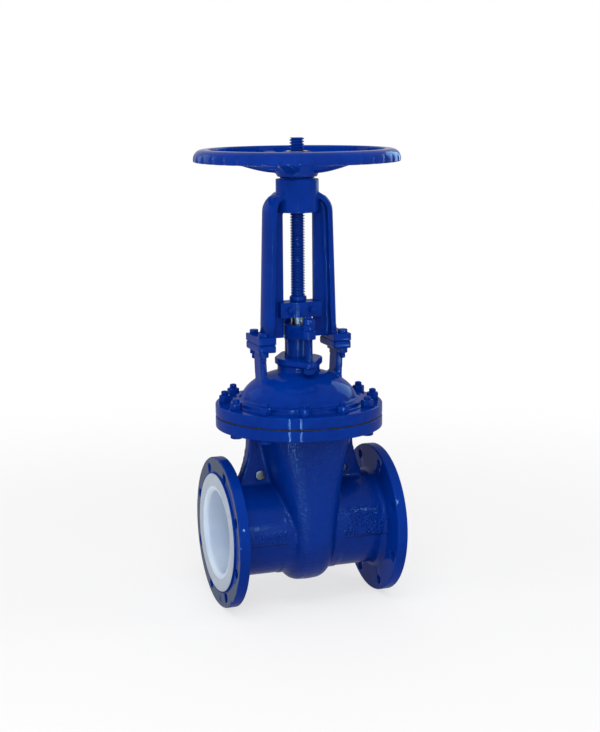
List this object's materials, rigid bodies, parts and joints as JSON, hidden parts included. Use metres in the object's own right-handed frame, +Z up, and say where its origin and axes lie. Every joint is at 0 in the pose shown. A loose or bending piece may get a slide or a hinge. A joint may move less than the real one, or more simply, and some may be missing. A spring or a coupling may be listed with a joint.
{
  "type": "flanged gate valve with a plastic lining and a rising stem",
  "caption": "Flanged gate valve with a rising stem, an outside screw and yoke, a fluted handwheel, and a white fluoroplastic lining over its body, bonnet and gate",
  "frame": {"origin": "the middle of the inlet flange's sealing face, on the bore axis", "axes": "+X along the bore from the inlet to the outlet, +Z up along the stem"},
  "size_m": [0.4558, 0.4558, 1.044],
  "materials": {
    "casting_blue": "glossy deep blue enamel over a cast surface",
    "lining_white": "smooth white fluoroplastic",
    "seat_white": "machined white fluoroplastic",
    "gasket_dark": "dull dark sheet gasket",
    "packing_grey": "braided graphite packing",
    "bare_steel": "turned and polished stem steel",
    "thread_blue": "thinly painted cut thread",
    "brass": "turned brass",
    "gate_iron": "cast core inside the lining"
  },
  "bodies": {
    "valve": {"valve_body": "casting_blue", "body_lining": "lining_white", "inlet_seat": "seat_white", "outlet_seat": "seat_white", "web_plugs": "bare_steel", "bonnet_gasket": "gasket_dark", "bonnet": "casting_blue", "bonnet_arms": "casting_blue", "bonnet_lining": "lining_white", "packing": "packing_grey", "gland_follower": "thread_blue", "gland_flange": "casting_blue", "yoke": "casting_blue", "lower_thrust_ring": "brass", "upper_thrust_ring": "brass", "head_cap": "casting_blue"},
    "handwheel": {"yoke_sleeve": "brass", "handwheel": "casting_blue", "wheel_nut": "casting_blue"},
    "stem": {"stem_thread": "thread_blue", "stem_rod": "bare_steel", "clamp_front": "casting_blue", "clamp_rear": "casting_blue", "gate_core": "gate_iron", "gate_lining": "lining_white"}
  },
  "joints": [
    {"name": "handwheel_turn", "type": "hinge", "parent": "valve", "child": "handwheel", "pos_m": [0.2, 0, 0.789], "axis": [0, 0, 1], "range_deg": [0, 11520]},
    {"name": "stem_rise", "type": "slide", "parent": "valve", "child": "stem", "axis": [0, 0, 1], "range_m": [0, 0.192]}
  ],
  "couplings": [
    {"joint": "stem_rise", "follows": "handwheel_turn", "m_per_rad": 0.00095493}
  ]
}
